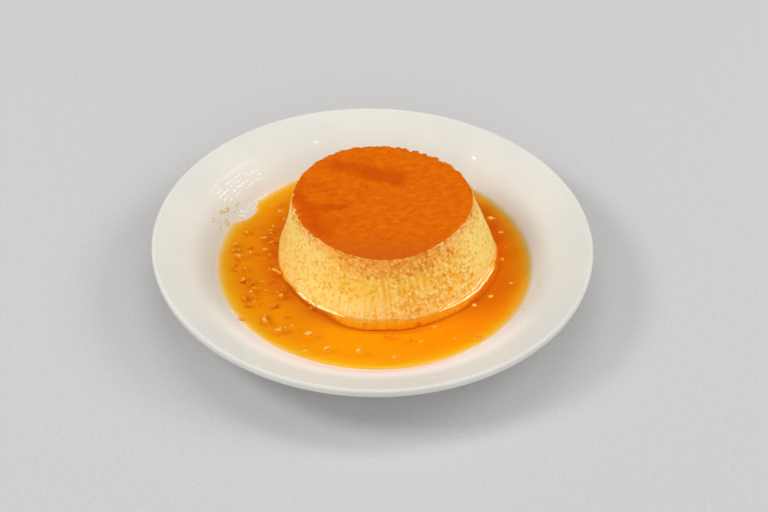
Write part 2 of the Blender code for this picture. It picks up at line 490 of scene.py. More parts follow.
def reliefTree():
    # turns a smooth blank of the flan into the uneven, pitted one
    tree, given, result = newTree("flanRelief", relief)
    place = addNode("GeometryNodeInputPosition").outputs[0]
    x, y, z = splitPlace(place)
    radius, angle = awayFrom(x, y)
    floor, height = plate["wellFloor"] * mm, flan["height"] * mm
    base, top = flan["baseRadius"] * mm, flan["topRadius"] * mm
    rise = {0: z, 1: floor, 2: floor + height, 3: 0.0, 4: 1.0}
    share = addNode("ShaderNodeMapRange", rise).outputs[0]
    arch = maths("SINE", times(share, math.pi))
    wall = scaled(arch, flan["belly"] * mm, scaled(share, top - base, base))
    onSide = eased(maths("DIVIDE", radius, wall), 0.945, 0.985)

    def zone(name):
        return around(angle, *zones[name])

    def level(low, high, most=1.0):
        return eased(share, low, high, most)

    def scaledNoise(size, where=place, detail=2.0):
        inputs = {"Vector": where, "Scale": maths("DIVIDE", 1.0, size), "Detail": detail}
        return minus(addNode("ShaderNodeTexNoise", inputs).outputs["Fac"], 0.5)

    # cells are warped, so that no two are alike
    shaken = warped(place, 1.9 * mm, 1.0, 1.3 * mm)

    def scaledCells(spacing):
        # the distance to the nearest cell's middle, in spacings, and that cell's own luck
        cells = {"Vector": shaken, "Scale": maths("DIVIDE", 1.0, spacing)}
        cells = addNode("ShaderNodeTexVoronoi", cells)
        luck = addNode("ShaderNodeSeparateXYZ", {0: cells.outputs["Color"]}).outputs[0]
        return cells.outputs["Distance"], luck

    def scaledPores(spacing, least, most, sharp=0.45):
        distance, luck = scaledCells(spacing)
        reach = larger(scaled(luck, most - least, least), 0.001)
        return eased(distance, reach, times(reach, sharp))

    # where the side is coarse: right of the front, the stained band above the front, and the back
    bandCoarse = times(zone("coarseBand"), level(0.48, 0.76), 0.85)
    coarse = larger(zone("coarseFront"), times(zone("coarseBack"), 0.7), bandCoarse)
    patches = eased(scaledNoise(8 * mm), -0.16, 0.06, 0.55)
    coarse = times(coarse, plus(patches, 0.45))
    # the right side's middle stands out or back, and behind it is a crumbly part that stands back
    bulge = times(around(angle, *flan["bulge"][:3]), level(0.80, 0.58))
    setback = times(around(angle, *flan["setback"][:3]), level(0.99, 0.80))
    slump = times(around(angle, *flan["slump"][:3]), level(0.42, 0.14))
    coarse = larger(times(coarse, oneMinus(times(bulge, 0.85))), times(setback, 0.9))

    pits = times(scaledPores(given["Pit Spacing"], -0.25, 0.42), coarse)
    hollows = scaledPores(given["Hollow Spacing"], -0.30, 0.33, 0.3)
    hollows = times(hollows, scaled(coarse, 0.9, 0.1))
    amount = times(scaled(coarse, 0.45, 0.55), scaled(zone("smoothLeft"), -0.5, 1.0))
    pores = times(scaledPores(given["Pore Spacing"], -0.25, 0.48), amount)
    # broken chunks of uneven size with creases between them
    distance, luck = scaledCells(given["Chunk Spacing"])
    chunk = eased(distance, 0.66, 0.30)
    rounded = times(chunk, scaled(luck, 0.9, 0.1), coarse)
    borders = {"Vector": shaken, "Scale": maths("DIVIDE", 1.0, given["Chunk Spacing"])}
    borders = addNode("ShaderNodeTexVoronoi", borders, feature="DISTANCE_TO_EDGE").outputs["Distance"]
    torn = eased(scaledNoise(3.0 * mm), -0.10, 0.10)
    creases = times(eased(borders, 0.20, 0.02), torn, coarse)
    lumps = scaledNoise(given["Lump Size"])
    crumbled = times(scaledNoise(given["Crumb Size"]), scaled(coarse, 0.88, 0.12))
    grain = times(scaledNoise(given["Grain Size"], detail=1.0), scaled(coarse, 0.75, 0.25))

    # drag marks left by the mould at the front, straight down the side
    wallMean = (base + top) / 2
    dragged = {0: times(maths("COSINE", angle), wallMean),
               1: times(maths("SINE", angle), wallMean), 2: times(z, 0.06)}
    dragged = addNode("ShaderNodeCombineXYZ", dragged).outputs[0]
    streakPatches = plus(eased(scaledNoise(7 * mm), -0.14, 0.06, 0.55), 0.45)
    streaks = times(scaledNoise(given["Streak Width"], dragged, 1.0),
                      scaled(zone("dragMarks"), 0.97, 0.03), streakPatches)

    # the top edge is nibbled at the left and the back, where small lumps stand out too
    wornHere = larger(zone("wornRight"), times(zone("wornBack"), 0.4), times(zone("wornLeft"), 0.8))
    bites = times(eased(scaledNoise(2.2 * mm, detail=1.0), 0.03, 0.20), level(0.86, 0.97), wornHere)
    knobsHere = larger(zone("knobsRight"), times(zone("knobsBack"), 0.35))
    knobs = times(eased(scaledNoise(3.4 * mm, detail=0.0), 0.02, -0.16), level(0.80, 0.95), knobsHere)
    beaded = larger(zone("beadsLeft"), times(zone("beadsRight"), 0.6))
    rimWet = times(beaded, level(0.87, 0.94))
    beads = times(eased(scaledNoise(1.5 * mm, detail=1.0), 0.04, 0.16), level(0.995, 0.96), rimWet)

    # the wall is calm where the pool climbs it on the right
    calm = oneMinus(times(zone("calm"), level(0.26, 0.17)))
    crumbled, grain, creases = times(crumbled, calm), times(grain, calm), times(creases, calm)
    rounded, pits, hollows = times(rounded, calm), times(pits, calm), times(hollows, calm)
    pores = times(pores, calm)

    raised = ((crumbled, "Crumb Height"), (rounded, "Chunk Height"), (grain, "Grain Height"))
    rimmed = ((streaks, "Streak Depth"), (knobs, "Rim Lumps"), (beads, "Rim Beads"))
    dents = ((hollows, "Hollow Depth"), (pits, "Pit Depth"), (creases, "Crease Depth"))
    push = times(lumps, given["Lump Height"])
    for field, amountName in raised + rimmed:
        push = scaled(field, given[amountName], push)
    # under the pool's surface the foot spreads, most at the front
    wider = larger(zone("footFront"), times(zone("footRight"), 0.6))
    spread = scaled(wider, given["Foot Spread"], given["Foot Base"])
    push = scaled(level(0.125, 0.02), spread, push)
    for part, key in ((bulge, "bulge"), (setback, "setback"), (slump, "slump")):
        push = scaled(part, flan[key][3] * mm, push)
    for field, depth in dents + ((pores, "Pore Depth"), (bites, "Rim Wear")):
        push = minus(push, times(field, given[depth]))
    push = times(push, onSide)

    # the outline's waves, the lean and the place on the plate
    uneven = times(swellField(flan["topWaves"], angle), share)
    uneven = plus(uneven, times(swellField(flan["baseWaves"], angle), oneMinus(share)))
    uneven = plus(uneven, times(swellField(flan["sideWaves"], angle), arch))
    stretch = scaled(uneven, 1 / top, 1.0)
    spot = []
    for axis, (along, turn) in enumerate(((x, "COSINE"), (y, "SINE"))):
        outward = scaled(maths(turn, angle), push, times(along, stretch))
        shift = scaled(share, flan["lean"][axis] * mm, flan["centre"][axis] * mm)
        spot.append(plus(outward, shift))

    # the skin's face is a little wavy and never higher than the blank
    ripple = times(maths("ABSOLUTE", scaledNoise(14 * mm)), given["Skin Ripple"])
    lowered = plus(ripple, times(bites, onSide, 0.35 * mm))
    newZ = minus(z, times(lowered, level(0.985, 1.0)))
    moved = addNode("ShaderNodeCombineXYZ", {0: spot[0], 1: spot[1], 2: newZ}).outputs[0]

    # how deep and how proud each spot is, for the colouring: painted shade in the deep spots, painted
    # highlights on the proud ones
    fine = times(pores, -0.25 * mm)
    for field, depth in raised:
        fine = scaled(field, given[depth], fine)
    for field, depth in dents:
        fine = minus(fine, times(field, given[depth]))
    deep = larger(eased(fine, 0.02 * mm, -0.42 * mm), times(pores, 0.55),
                  eased(streaks, -0.02, -0.14, 0.60), times(oneMinus(chunk), coarse, calm, 0.62))
    proud = larger(eased(fine, 0.18 * mm, 0.50 * mm), eased(streaks, 0.02, 0.14, 0.65),
                   times(chunk, scaled(luck, 0.8, 0.2), coarse, calm), beads)
    stored = {
        "pit": times(deep, onSide), "crest": times(proud, oneMinus(deep), onSide),
        "coarse": larger(coarse, rimWet), "wet": times(rimWet, onSide),
    }
    shape = given[0]
    for label, value in stored.items():
        inputs = {"Geometry": shape, "Name": label, "Value": value}
        shape = addNode("GeometryNodeStoreNamedAttribute", inputs).outputs[0]
    shape = addNode("GeometryNodeSetPosition", {"Geometry": shape, "Position": moved}).outputs[0]
    realized = addNode("GeometryNodeRealizeInstances", {0: shape})
    painted = addNode("GeometryNodeSetMaterial", {"Geometry": realized.outputs[0]})
    link(painted.outputs[0], result, 0)
    return tree, painted


custardLook = {
    # crest and soakedCrest are painted highlights; hollow and porous also paint shade in the pits
    "crest": (1.0, 0.78, 0.37, 1), "cream": (1.0, 0.745, 0.225, 1), "golden": (0.91, 0.47, 0.02, 1),
    "hollow": (0.94, 0.42, 0.010, 1), "soaked": (1.0, 0.38, 0.055, 1), "porous": (0.76, 0.25, 0.010, 1),
    "frontGold": (1.0, 0.60, 0.06, 1), "soakedCrest": (0.98, 0.57, 0.20, 1),
    # painted glints on the rim lumps, and the darker colour between them
    "beadGlint": (1.0, 0.84, 0.48, 1), "between": (0.80, 0.30, 0.02, 1),
    # the last two here are painted shade for the custard under the pool's surface
    "wet": (0.84, 0.44, 0.012, 1), "submergedShade": (0.78, 0.32, 0.010, 1), "submergedShadeDark": (0.60, 0.17, 0.005, 1),
}


def custardColour(place):
    # cream custard with golden mottling, painted shade in its pits and painted highlights on its crests,
    # soaked with caramel at the top, damp at the foot and painted dark under the pool
    c = custardLook
    x, y, z = splitPlace(place)
    angle = awayFrom(x, y, flan["centre"])[1]

    def zone(name):
        return around(angle, *zones[name])

    pit = storedAt("pit")
    crest = storedAt("crest")
    coarse = storedAt("coarse")
    mottle = eased(noiseAt(place, 1.6 * mm, 3, 0.6), 0.49, 0.60)
    cloud = eased(noiseAt(place, 6 * mm, 2), 0.35, 0.65)
    mottle = times(mottle, scaled(cloud, 0.6, 0.4))
    front = zone("front")
    higher = eased(z, 11 * mm, 21 * mm)
    gold = times(front, scaled(higher, 0.50, 0.18))
    colour = blendColour(gold, c["cream"], c["frontGold"])
    colour = blendColour(mottle, colour, c["golden"])
    # golden pinholes, drawn long down the side
    dashes = poresAt(stretched(place, (1, 1, 0.6)), 1.7 * mm, -0.22, 0.54)
    dashHere = times(zone("dashes"), eased(z, 11 * mm, 19 * mm))
    dashHere = scaled(dashHere, 0.75, 0.16)
    colour = blendColour(times(dashes, dashHere), colour, c["hollow"])
    # the soak reaches lower at the front, and its border is ragged
    ragged = scaled(noiseAt(place, 3 * mm, 3), 5 * mm, -2.5 * mm)
    level = plus(scaled(front, 3.0 * mm, z), ragged)
    soak = eased(level, 27.0 * mm, 34.5 * mm, 0.85)
    colour = blendColour(soak, colour, c["soaked"])
    band = eased(level, 26.5 * mm, 30.0 * mm)
    # painted highlights on the crests and painted shade in the pits, in soaked colours within the band
    crestColour = blendColour(band, c["crest"], c["soakedCrest"])
    colour = blendColour(times(crest, 0.8), colour, crestColour)
    pitColour = blendColour(band, c["hollow"], c["porous"])
    colour = blendColour(eased(pit, 0.1, 0.9, 0.95), colour, pitColour)
    fine = poresAt(stretched(place, (1, 1, 0.8)), 1.8 * mm, -0.15, 0.56)
    poreShare = times(fine, scaled(band, 0.92, 0.08))
    colour = blendColour(poreShare, colour, c["porous"])
    # small wet lumps hang at the top edge on the left and the right; their tops carry painted glints and
    # the colour between them is darker
    wet = storedAt("wet")
    lump = noiseAt(place, 1.25 * mm, 1)
    colour = blendColour(times(wet, eased(lump, 0.47, 0.38, 0.7)), colour, c["between"])
    colour = blendColour(times(wet, eased(lump, 0.57, 0.63)), colour, c["beadGlint"])
    damp = eased(z, 9.6 * mm, 8.4 * mm)
    damp = times(damp, times(zone("damp"), 0.6))
    colour = blendColour(damp, colour, c["wet"])
    # under the pool's surface the custard is painted dark as shade, but not the spread foot at the front
    # and the left
    spread = larger(zone("paleFoot"), zone("paleLeft"))
    pale = oneMinus(zone("darkLeft"))
    spread = times(spread, pale)
    darkFrom = scaled(spread, -2.6 * mm, 8.3 * mm)
    depth = minus(darkFrom, z)
    submergedShade = eased(depth, 0.0, 1.3 * mm, 0.9)
    colour = blendColour(submergedShade, colour, blendColour(pale, c["submergedShadeDark"], c["submergedShade"]))
    return colour, fine, band, coarse


def custardMaterial():
    look = {
        "IOR": 1.4, "Specular IOR Level": 0.10,
        "Subsurface Weight": 0.15, "Subsurface Radius": (1.0, 0.45, 0.15), "Subsurface Scale": 0.5 * mm,
        "Coat Roughness": 0.10,
    }
    material, shader, place = newMaterial("bakedCustard", look)
    colour, fine, band, coarse = custardColour(place)
    link(colour, shader, "Base Color")
    wet = storedAt("wet")
    link(scaled(wet, 0.2, 0.05), shader, "Coat Weight")
    rough = eased(noiseAt(place, 2.5 * mm, 3), 0.3, 0.7, 0.3)
    link(plus(rough, 0.25), shader, "Roughness")
    grain = noiseAt(place, 0.8 * mm, 3)
    height = minus(grain, times(fine, 0.3))
    height = times(height, scaled(coarse, 0.6, 0.4))
    bumped(shader, height, 0.5, 0.25 * mm)
    return material


skinLook = {
    "amber": (0.66, 0.118, 0.0015, 1), "bright": (0.78, 0.172, 0.002, 1), "burnt": (0.58, 0.070, 0.001, 1),
    "frontEdgeSheen": (0.58, 0.105, 0.006, 1), "fleck": (0.95, 0.60, 0.20, 1), "pinhole": (0.30, 0.035, 0.002, 1),
    # darker swirls: where each starts and ends on the face, and its width, in mm
    "swirls": (((-15, 32), (10, 25), 7.5), ((-4, 27), (11, 21), 5.0), ((-31, 12), (-20, -13), 6.5),
               ((-29, 2), (-12, 5), 5.0)),
    "swirlDepth": 0.85,
}


def strokeAt(place, start, end, width):
    # 1 along a soft stroke between two points of the face, 0 away from it
    ax, ay = start[0] * mm, start[1] * mm
    run = Vector((end[0] - start[0], end[1] - start[1], 0)) * mm
    offset = stretched(vectorMaths("SUBTRACT", place, (ax, ay, 0)), (1, 1, 0))
    along = vectorMaths("DOT_PRODUCT", offset, tuple(run / run.length_squared))
    along = addNode("ShaderNodeClamp", {0: along}).outputs[0]
    nearest = vectorMaths("SCALE", tuple(run), Scale=along)
    return eased(vectorMaths("DISTANCE", offset, nearest), width * mm, 0.0)


def skinMaterial():
    look = {
        "IOR": 1.4, "Specular IOR Level": 0.07,
        "Subsurface Weight": 0.1, "Subsurface Radius": (1.0, 0.3, 0.05), "Subsurface Scale": 0.8 * mm,
    }
    material, shader, place = newMaterial("caramelSkin", look)
    s = skinLook
    x, y, z = splitPlace(place)
    turned = {"Vector": place, "Angle": -0.3}
    brushed = addNode("ShaderNodeVectorRotate", turned, rotation_type="Z_AXIS").outputs[0]
    small = noiseAt(stretched(brushed, (0.7, 1, 1)), 2.4 * mm, 5, 0.7)
    colour = blendColour(eased(small, 0.38, 0.66, 0.9), s["amber"], s["bright"])
    # swirls of darker caramel with torn borders
    torn = warped(place, 5 * mm, 5.0, 9 * mm)
    strokes = [strokeAt(torn, start, end, width) for start, end, width in s["swirls"]]
    wide = eased(noiseAt(place, 11 * mm, 4), 0.46, 0.70, 0.6)
    leftward = eased(x, 14 * mm, -22 * mm)
    swirl = larger(*strokes, times(wide, leftward))
    swirl = times(swirl, scaled(small, -0.6, 1.25))
    colour = blendColour(times(swirl, s["swirlDepth"]), colour, s["burnt"])
    # towards the front edge the skin is painted darker, and that colour holds a faint painted sheen
    frontward = eased(y, -6 * mm, -27 * mm, 0.65)
    colour = blendColour(frontward, colour, s["frontEdgeSheen"])
    holes = poresAt(place, 2.6 * mm, -0.45, 0.13)
    colour = blendColour(times(holes, 0.6), colour, s["pinhole"])
    flecks = poresAt(stretched(place, (1.3, 1, 1)), 5.5 * mm, -0.5, 0.06)
    colour = blendColour(times(flecks, leftward), colour, s["fleck"])
    # the skin's edge pales into the soaked custard under it
    custard, fine, band, coarse = custardColour(place)
    edge = eased(z, skinHigh.z - 0.22 * mm, skinHigh.z - 0.60 * mm)
    colour = blendColour(edge, colour, custard)
    link(colour, shader, "Base Color")
    rough = eased(noiseAt(place, 4 * mm, 4), 0.3, 0.7, 0.16)
    link(plus(rough, 0.24), shader, "Roughness")
    grain = minus(noiseAt(place, 0.7 * mm, 3), holes)
    bumped(shader, grain, 0.35, 0.12 * mm)
    return material


seam = (custardHigh.z + skinLow.z) / 2 / mm - plate["wellFloor"]
custardBlank = flanOutline(0.3, seam, flan["baseRound"], 0, flan["sideRow"])
skinBlank = flanOutline(seam, flan["height"], 0, flan["topRound"], flan["rimRow"])
rimX = (flan["topRadius"] - flan["rimBand"]) * mm
topHeight = skinBlank[0][1]
inner = [(flan["topRow"] * mm * k, topHeight) for k in range(int(rimX / (flan["topRow"] * mm)) + 1)]
outer = cutRuns([inner[-1], skinBlank[1]], flan["rimRow"] * mm)
skinBlank = inner + outer[1:-1] + skinBlank[1:]

tree, paintNode = reliefTree()
for name, blank, material, slotName, node in (
    ("custard_body", custardBlank, custardMaterial(), "custard", "custard"),
    ("caramel_skin", skinBlank, skinMaterial(), "caramel", "caramel_top"),
):
    piece = turned(name, blank, flan["steps"])
    paintNode.inputs["Material"].default_value = material
    finishPiece(grown(piece, tree, relief), material, slotName, node)


sauce = {
    # the pool stands deeper towards one side: how much, in mm at its edge, and in which direction
    "tilt": 0.8, "tiltTowards": 6,
    "wobble": 0.35, "notch": 3.8, "notchAt": 150, "notchWide": 6.0,
    # where the edge draws in: direction, sharpness and distance; and how wide its thin film is
    "dips": ((137, 20, 1.5), (-98, 5, 2.2)), "film": 2.6, "filmShare": 0.6,
    "filmAtNotch": 1.4,
    # the surface climbs the wet custard: its slope there, then direction, half spread and width
    "rampSlope": 0.64, "rampRound": 0.34, "ramps": ((-38, 28, 1.5), (-125, 23, 1.0)), "rampLeast": 0.12,
    "insideWall": 1.6, "underGlaze": 0.15, "thinnest": 0.03,
    "tint": (0.9900, 0.815, 0.0, 1), "tintDensity": 570.0,
    "steps": 540, "rows": 34,
}


def poolLevel(x, y):
    toward = math.radians(sauce["tiltTowards"])
    lean = (x * math.cos(toward) + y * math.sin(toward)) / (65 * mm)
    return sauceHigh.z + sauce["tilt"] * mm * lean


def notchShare(angle):
    away = (math.degrees(angle) - sauce["notchAt"] + 180) % 360 - 180
    return math.exp(-(away / sauce["notchWide"]) ** 4)


def sauceEdge(angle):
    # the pool's outer radius, in mm: where its surface meets the glaze, with a wobble, a dip and a notch
    radius = 58.0
    direction = Vector((math.cos(angle), math.sin(angle), 0))
    while insideHeight(outline, radius * mm) < poolLevel(*(direction.xy * radius * mm)):
        radius += 0.02
    for towards, sharpness, depth in sauce["dips"]:
        radius -= depth * max(0, math.cos(angle - math.radians(towards))) ** sharpness
    notch = notchShare(angle)
    wobble = noise.noise(direction * 3.1) + 0.4 * noise.noise(direction * 9.0)
    return radius - sauce["notch"] * notch + sauce["wobble"] * wobble


def rampHeight(angle, distance):
    # how far the surface stands above the pool at a distance, in mm, from the flan's mean wall
    s = sauce
    width = s["rampLeast"]
    for middle, half, most in s["ramps"]:
        away = (math.degrees(angle) - middle + 180) % 360 - 180
        width = max(width, most * math.exp(-(away / half) ** 4))
    softness = s["rampRound"] * width
    into = (width - max(distance, 0)) / softness
    return s["rampSlope"] * (softness * math.log(1 + math.exp(into)) + max(-distance, 0))


def makeSauce():
    s = sauce
    depth = sauceHigh.z / mm - plate["wellFloor"]
    count, notched = s["steps"], s["filmAtNotch"]
    shares = [(1 - math.cos(math.pi * k / s["rows"])) / 2 for k in range(s["rows"] + 1)]
    rings = []
    for i in range(count):
        angle = math.tau * i / count
        wall = Vector(flanPoint(angle, depth, standsOut(angle)))
        inside = Vector(flanPoint(angle, depth, standsOut(angle) - s["insideWall"]))
        edge = sauceEdge(angle) * mm
        rim = Vector((edge * math.cos(angle), edge * math.sin(angle)))
        gap = (rim - wall).length
        column = [(*inside, poolLevel(*inside) + rampHeight(angle, -s["insideWall"]) * mm)]
        for share in shares:
            spot = wall.lerp(rim, share)
            level = poolLevel(*spot) + rampHeight(angle, share * gap / mm) * mm
            toEdge = min(1, (1 - share) * gap / ((s["film"] - notched * notchShare(angle)) * mm))
            glazeZ = insideHeight(outline, spot.length)
            thick = max(level - glazeZ, s["thinnest"] * mm)
            thick *= s["filmShare"] + (1 - s["filmShare"]) * toEdge
            column.append((*spot, glazeZ + (thick if share < 1 else -s["thinnest"] * mm)))
        for share in reversed(shares):
            spot = wall.lerp(rim, share)
            column.append((*spot, insideHeight(outline, spot.length) - s["underGlaze"] * mm))
        column.append((*inside, plate["wellFloor"] * mm - s["underGlaze"] * mm))
        rings.append(column)
    rows = len(rings[0])
    points = [p for column in rings for p in column]
    faces = []
    for i in range(count):
        j = (i + 1) % count
        for k in range(rows):
            m = (k + 1) % rows
            faces.append((i * rows + k, i * rows + m, j * rows + m, j * rows + k))
    return newObject("caramel_pool", points, [], faces)


def sauceMaterial():
    look = {
        "Base Color": (1, 1, 1, 1), "Roughness": 0.03, "IOR": 1.33, "Transmission Weight": 1.0,
        "Specular Tint": (1.0, 0.95, 0.66, 1),
    }
    material, shader, place = newMaterial("caramelSauce", look)
    ripple = noiseAt(place, 5 * mm, 2)
    bumped(shader, ripple, 0.15, 0.15 * mm)
    # light falls through to the glaze below: shadow and bounced rays pass straight on
    clear = addNode("ShaderNodeBsdfTransparent").outputs[0]
    path = addNode("ShaderNodeLightPath").outputs
    bounced = addNode("ShaderNodeMixShader", {0: path["Is Diffuse Ray"], 1: shader.outputs[0], 2: clear})
    shaded = addNode("ShaderNodeMixShader", {0: path["Is Shadow Ray"], 1: bounced.outputs[0], 2: clear})
    output = material.node_tree.nodes["Material Output"]
    link(shaded.outputs[0], output, "Surface")
    tint = {"Color": sauce["tint"], "Density": sauce["tintDensity"]}
    tint = addNode("ShaderNodeVolumeAbsorption", tint)
    link(tint.outputs[0], output, "Volume")
    return material


finishPiece(makeSauce(), sauceMaterial(), "sauce", "caramel_sauce")


crumbs = {
    # broken bits of custard that stand out: direction, distance from the plate's middle, size
    "large": (
        (-119, 50.5, 3.6), (-23, 52.5, 2.6), (-32, 49.0, 2.2), (-57, 47.0, 2.2), (-46, 62.0, 2.6),
        (-67, 52.0, 2.0), (31, 57.5, 2.6), (3, 53.6, 2.2), (21, 57.5, 1.8), (-12, 58.0, 1.8),
        (-128, 51.0, 2.0), (-115, 60.3, 1.8), (-145, 63.0, 2.4), (141, 51.0, 2.6), (-80, 58.0, 1.8),
    ),
    "density": 60000, "gap": 1.5 * mm, "smallest": 1.2 * mm, "largest": 3.6 * mm, "sunk": 2.4 * mm,
    "pale": (1.0, 0.60, 0.15, 1), "golden": (0.90, 0.36, 0.03, 1), "soaked": (0.88, 0.44, 0.06, 1),
}


def crumbTree(material):
    names = ("Density", "Gap", "Smallest", "Largest", "Sunk")
    tree, given, result = newTree("crumbScatter", names)
    place = addNode("GeometryNodeInputPosition").outputs[0]
    x, y, z = splitPlace(place)
    angle = awayFrom(x, y)[1]
    crowd = scaled(around(angle, 180, 30, 25), 0.90, 0.10)
    spread = {
        "Mesh": given[0], "Distance Min": given["Gap"], "Density Max": given["Density"],
        "Density Factor": crowd, "Seed": 4,
    }
    scattered = addNode("GeometryNodeDistributePointsOnFaces", spread, distribute_method="POISSON")
    luck = addNode("FunctionNodeRandomValue", {2: 0.0, 3: 1.0, 8: 11}).outputs[1]
    luck = maths("POWER", luck, 1.8)
    spanSize = minus(given["Largest"], given["Smallest"])
    size = scaled(luck, spanSize, given["Smallest"])
    # most of the small ones have sunk a little
    sink = addNode("FunctionNodeRandomValue", {2: -1.0, 3: -0.1, 8: 23}).outputs[1]
    sink = addNode("ShaderNodeCombineXYZ", {2: times(sink, given["Sunk"])}).outputs[0]
    sunk = addNode("GeometryNodeSetPosition", {"Geometry": scattered.outputs[0], "Offset": sink})
    sized = addNode("GeometryNodeStoreNamedAttribute",
                    {"Geometry": sunk.outputs[0], "Name": "size", "Value": size})
    named = addNode("GeometryNodeInputNamedAttribute", {"Name": "size"}, data_type="FLOAT").outputs[0]
    isPlace = addNode("FunctionNodeCompare", {0: named, 1: 0.00001}, operation="GREATER_THAN").outputs[0]
    chosen = addNode("GeometryNodeMeshToPoints", {"Mesh": given[0], "Selection": isPlace})
    together = addNode("GeometryNodeJoinGeometry")
    link(chosen.outputs[0], together, 0)
    link(sized.outputs[0], together, 0)
    lump = addNode("GeometryNodeMeshIcoSphere", {"Radius": 1.0, "Subdivisions": 3}).outputs[0]
    spin = addNode("FunctionNodeRandomValue", {0: (0, 0, 0), 1: (0.5, 0.5, 6.28), 8: 5},
                   data_type="FLOAT_VECTOR").outputs[0]
    shape = addNode("FunctionNodeRandomValue", {0: (0.36, 0.22, 0.20), 1: (0.70, 0.38, 0.32), 8: 7},
                    data_type="FLOAT_VECTOR").outputs[0]
    scale = vectorMaths("SCALE", shape, Scale=named)
    placed = addNode("GeometryNodeInstanceOnPoints",
                     {"Points": together.outputs[0], "Instance": lump, "Rotation": spin, "Scale": scale})
    realized = addNode("GeometryNodeRealizeInstances", {0: placed.outputs[0]})
    moved = warped(place, 1.1 * mm, 2.0, 1.9 * mm)
    broken = addNode("GeometryNodeSetPosition", {"Geometry": realized.outputs[0], "Position": moved})
    painted = addNode("GeometryNodeSetMaterial", {"Geometry": broken.outputs[0], "Material": material})
    link(painted.outputs[0], result, 0)
    return tree


def makeCrumbs(material):
    # the base is a ring of faces in the pool's surface, with loose points for the large crumbs
    count = 120
    points, faces = [], []
    for i in range(count):
        angle = math.tau * i / count
        near = Vector(flanPoint(angle, 4, 2.2))
        far = Vector((math.cos(angle), math.sin(angle))) * (sauceEdge(angle) - 4.5) * mm
        for spot in (near, far):
            points.append((*spot.xy, poolLevel(*spot.xy) - 0.1 * mm))
    for i in range(count):
        j = (i + 1) % count
        faces.append((2 * i, 2 * i + 1, 2 * j + 1, 2 * j))
    sizes = [0.0] * len(points)
    for direction, distance, size in crumbs["large"]:
        angle = math.radians(direction)
        spot = Vector((math.cos(angle), math.sin(angle))) * distance * mm
        points.append((*spot, poolLevel(*spot)))
        sizes.append(size * mm)
    base = newObject("custard_crumbs", points, [], faces)
    base.data.attributes.new("size", "FLOAT", "POINT").data.foreach_set("value", sizes)
    named = {"Density": crumbs["density"], "Gap": crumbs["gap"], "Sunk": crumbs["sunk"],
             "Smallest": crumbs["smallest"], "Largest": crumbs["largest"]}
    return grown(base, crumbTree(material), named)


def crumbMaterial():
    look = {"Roughness": 0.5, "IOR": 1.4, "Specular IOR Level": 0.25,
            "Subsurface Weight": 0.1, "Subsurface Radius": (1.0, 0.4, 0.1), "Subsurface Scale": 0.3 * mm}
    material, shader, place = newMaterial("crumbCustard", look)
    tone = eased(noiseAt(place, 2.4 * mm, 2), 0.35, 0.65)
    colour = blendColour(tone, crumbs["pale"], crumbs["golden"])
    x, y, z = splitPlace(place)
    crowded = around(awayFrom(x, y)[1], 180, 45, 15)
    colour = blendColour(times(crowded, 0.6), colour, crumbs["soaked"])
    link(colour, shader, "Base Color")
    bumped(shader, noiseAt(place, 0.4 * mm, 2), 0.5, 0.1 * mm)
    return material


crumbPaint = crumbMaterial()
finishPiece(makeCrumbs(crumbPaint), crumbPaint, "custard")


specks = {
    # little splashes on the glaze: direction, distance from the plate's middle, size
    "splashes": (
        (155, 68.6, 3.8), (158, 69.6, 3.0), (163, 70.2, 3.2), (160, 65.6, 4.2), (150, 67.3, 2.3),
        (164, 67.0, 2.1), (153, 66.2, 1.5), (157, 67.2, 1.3), (161, 68.0, 1.3), (159, 72.0, 1.1),
        (-13, 69.8, 1.8), (-18, 68.4, 1.5), (-26, 68.5, 1.7), (-34, 72.0, 1.0),
    ),
    "thick": 0.08, "corners": 10,
    # the drop's rings: how far out and how high each lies
    "rings": ((0.0, 1.0), (0.55, 0.82), (0.88, 0.42), (1.0, -0.15)),
    "pale": (0.74, 0.66, 0.46, 1), "tan": (0.64, 0.50, 0.28, 1),
}


def makeSpecks():
    # each splash is a flat rounded drop that leans on the plate's wall
    points, faces = [], []
    rings, corners = specks["rings"], specks["corners"]
    for number, (direction, distance, size) in enumerate(specks["splashes"]):
        angle = math.radians(direction)
        out = Vector((math.cos(angle), math.sin(angle), 0))
        here = insideHeight(outline, distance * mm)
        slope = (insideHeight(outline, (distance + 0.5) * mm) - here) / (0.5 * mm)
        up = (Vector((0, 0, 1)) - out * slope).normalized()
        along = (out + Vector((0, 0, slope))).normalized()
        side = up.cross(along)
        centre = out * distance * mm + Vector((0, 0, here))
        first = len(points)
        points.append(tuple(centre + up * specks["thick"] * size * mm))
        for reach, lift in rings[1:]:
            for k in range(corners):
                turn = math.tau * k / corners
                uneven = 1 + 0.8 * noise.noise(Vector((math.cos(turn), math.sin(turn), number * 1.7)) * 1.4)
                flat = along * math.cos(turn) * 0.6 + side * math.sin(turn)
                flat = flat * reach * uneven * size / 2 * mm
                points.append(tuple(centre + flat + up * lift * specks["thick"] * size * mm))
        for k in range(corners):
            faces.append((first, first + 1 + k, first + 1 + (k + 1) % corners))
            for ring in range(len(rings) - 2):
                a = first + 1 + ring * corners
                b = a + corners
                faces.append((a + k, b + k, b + (k + 1) % corners, a + (k + 1) % corners))
        last = first + 1 + (len(rings) - 2) * corners
        faces.append(tuple(last + k for k in reversed(range(corners))))
    return newObject("plate_splashes", points, [], faces)


def speckMaterial():
    look = {"Roughness": 0.15, "IOR": 1.4, "Coat Weight": 0.4, "Coat Roughness": 0.05}
    material, shader, place = newMaterial("driedSplash", look)
    tone = eased(noiseAt(place, 1.5 * mm, 2), 0.35, 0.65)
    link(blendColour(tone, specks["pale"], specks["tan"]), shader, "Base Color")
    bumped(shader, noiseAt(place, 0.7 * mm, 2), 0.3, 0.1 * mm)
    return material


finishPiece(makeSpecks(), speckMaterial(), "sauce")


